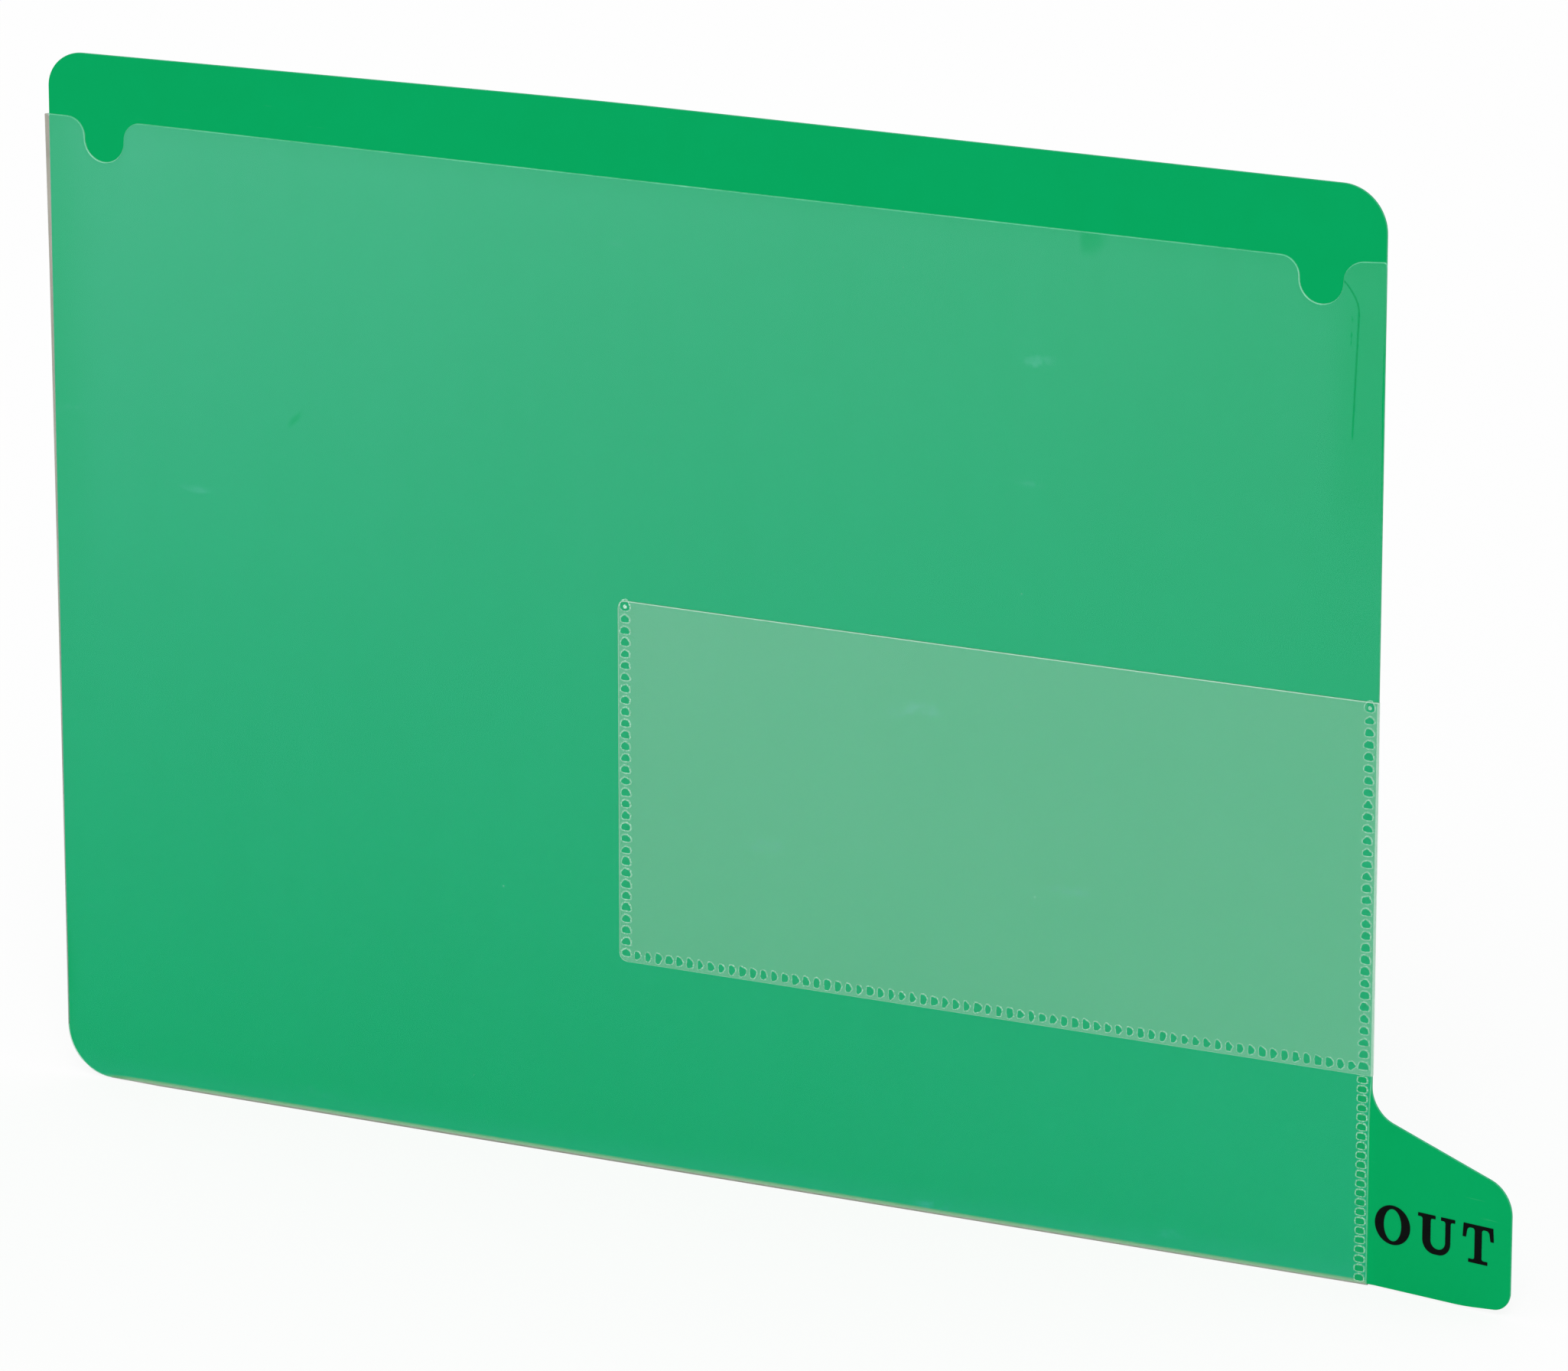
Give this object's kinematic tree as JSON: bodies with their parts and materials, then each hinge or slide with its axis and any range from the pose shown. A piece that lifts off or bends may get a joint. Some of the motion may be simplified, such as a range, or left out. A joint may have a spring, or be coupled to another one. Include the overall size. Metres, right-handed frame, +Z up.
{
  "type": "file guide",
  "caption": "Upright end-tab file guide: a stiff green plastic sheet with a printed tab, a clear full-size film pocket whose free corner lifts, and a smaller welded card pocket.",
  "frame": {"origin": "on the shelf, under the middle of the body's bottom edge and in the middle of the sheet's thickness", "axes": "+X along the bottom edge towards the tab, +Y out of the back of the sheet, +Z up; the pockets face -Y"},
  "size_m": [0.3594, 0.0065, 0.2419],
  "materials": {
    "green_plastic": "satin green polypropylene sheet",
    "pocket_film": "clear, slightly milky polypropylene film",
    "card_film": "clear, slightly milky polypropylene film",
    "weld_ridge": "film fused to the layer below in pressed cells",
    "black_ink": "printed black ink"
  },
  "bodies": {
    "panel": {"guide_panel": "green_plastic", "letter_pocket_film": "pocket_film", "letter_pocket_hem_left": "pocket_film", "letter_pocket_hem_bottom": "pocket_film", "card_pocket_film": "card_film", "card_seam_left": "weld_ridge", "card_seam_bottom": "weld_ridge", "card_seam_right": "weld_ridge", "pocket_seam_right": "weld_ridge", "tab_letter_o_front": "black_ink", "tab_letter_u_front": "black_ink", "tab_letter_t_front": "black_ink", "tab_letter_o_back": "black_ink", "tab_letter_u_back": "black_ink", "tab_letter_t_back": "black_ink"},
    "pocket_flap": {"letter_pocket_flap": "pocket_film"}
  },
  "joints": [
    {"name": "pocket_flap_bend", "type": "hinge", "parent": "panel", "child": "pocket_flap", "pos_m": [0.0069, -0.0007, 0.17445], "axis": [0.9662, 0, -0.2576], "range_deg": [0, 35], "stiffness_Nm_per_rad": 0.009}
  ]
}
